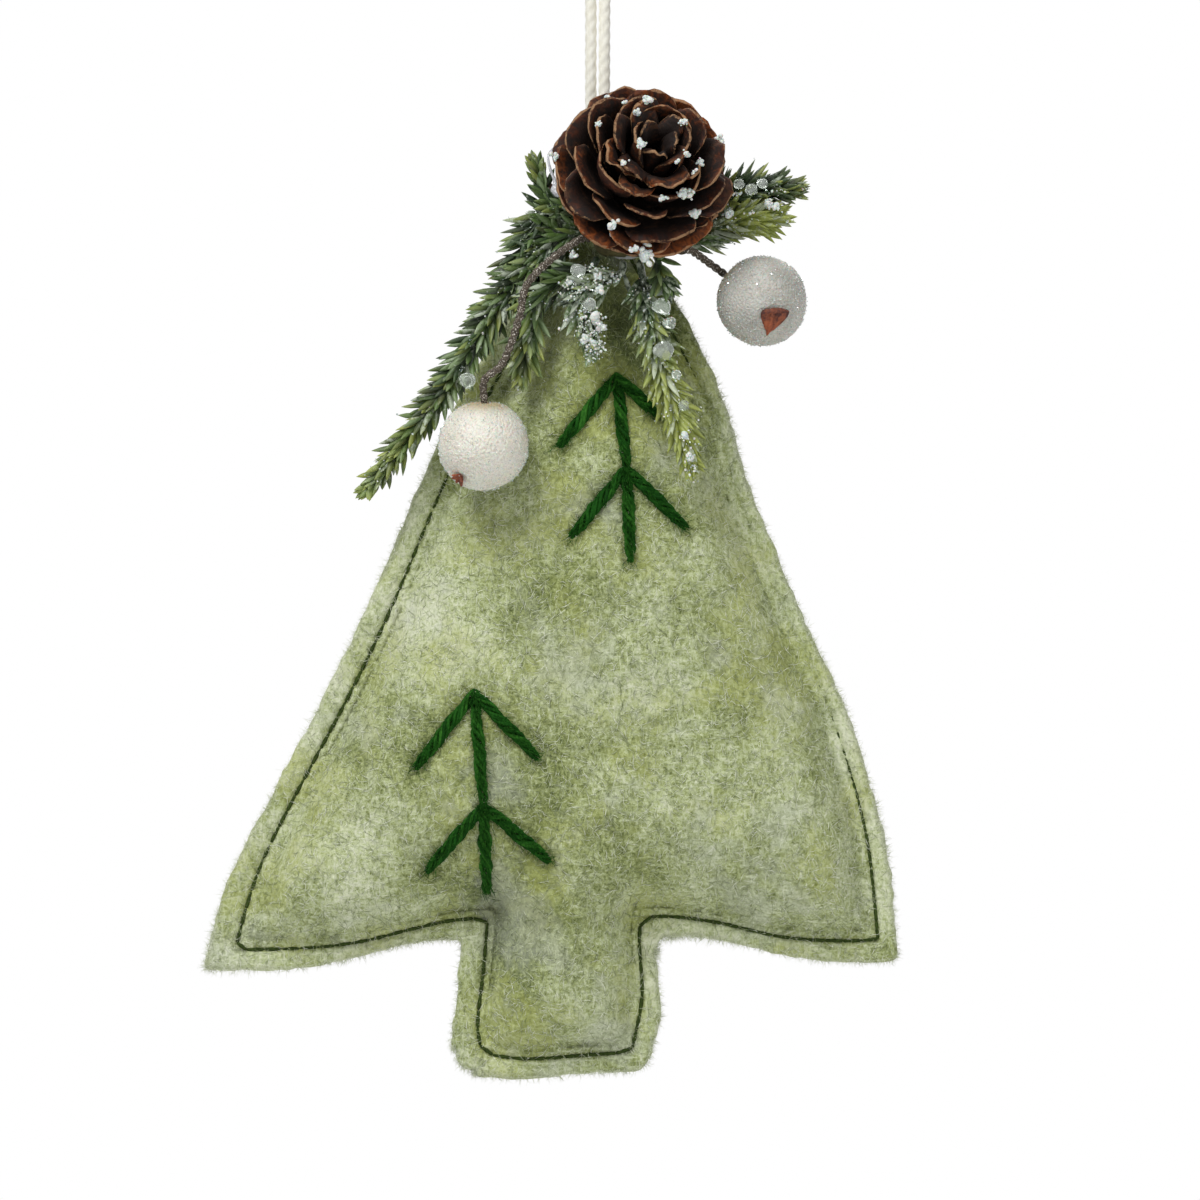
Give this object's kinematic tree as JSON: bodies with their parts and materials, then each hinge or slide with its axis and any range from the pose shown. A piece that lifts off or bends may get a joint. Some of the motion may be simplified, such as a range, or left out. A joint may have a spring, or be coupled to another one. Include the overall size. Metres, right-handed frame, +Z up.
{
  "type": "felt tree ornament",
  "caption": "Stuffed felt tree ornament with embroidered sprigs, a stitched edge, a pine cone, frosted berries, needle sprigs and a twine loop to hang it by.",
  "frame": {"origin": "the inner top of the twine loop, where a hook or a twig carries the ornament", "axes": "+Z up along the hanging loop, -Y out of the embroidered front, +X to the right as the front shows it"},
  "size_m": [0.0977, 0.0367, 0.199],
  "materials": {
    "felt": "matte",
    "stuffing": "matte",
    "sewing_thread": "matte",
    "floss": "satin",
    "twine": "matte",
    "cone": "matte",
    "needles": "matte",
    "berry": "satin",
    "calyx": "matte",
    "wire_wrap": "matte",
    "glue": "gloss",
    "tape": "matte"
  },
  "bodies": {
    "hanger": {"hanging_loop": "twine"},
    "tree": {"loop_knot": "twine", "felt_front": "felt", "felt_back": "felt", "stuffing": "stuffing", "seam_thread_front": "sewing_thread", "seam_thread_back": "sewing_thread", "embroidery_upper": "floss", "embroidery_lower": "floss", "pine_cone": "cone", "glue_pad": "glue", "stem_binding": "tape", "pick_stem": "wire_wrap", "sprig_long_left": "needles", "sprig_inner_left": "needles", "sprig_snowy_centre": "needles", "sprig_right_front": "needles", "sprig_under_cone": "needles", "sprig_right_upper": "needles", "sprig_right_lower": "needles", "sprig_top_left": "needles"},
    "left_berry_pick": {"left_berry_stem": "wire_wrap", "left_berry": "berry", "left_berry_calyx": "calyx"},
    "right_berry_pick": {"right_berry_stem": "wire_wrap", "right_berry": "berry", "right_berry_calyx": "calyx"}
  },
  "joints": [
    {"name": "tree_swing", "type": "hinge", "parent": "hanger", "child": "tree", "pos_m": [0, 0, -0.071], "axis": [1, 0, 0], "range_deg": [-15, 90]},
    {"name": "left_berry_bend", "type": "hinge", "parent": "tree", "child": "left_berry_pick", "pos_m": [-0.00085, -0.0111, -0.07923], "axis": [-1, 0, 0], "range_deg": [0, 60]},
    {"name": "right_berry_bend", "type": "hinge", "parent": "tree", "child": "right_berry_pick", "pos_m": [0.01019, -0.00997, -0.0803], "axis": [0, 0, 1], "range_deg": [-45, 25]}
  ]
}
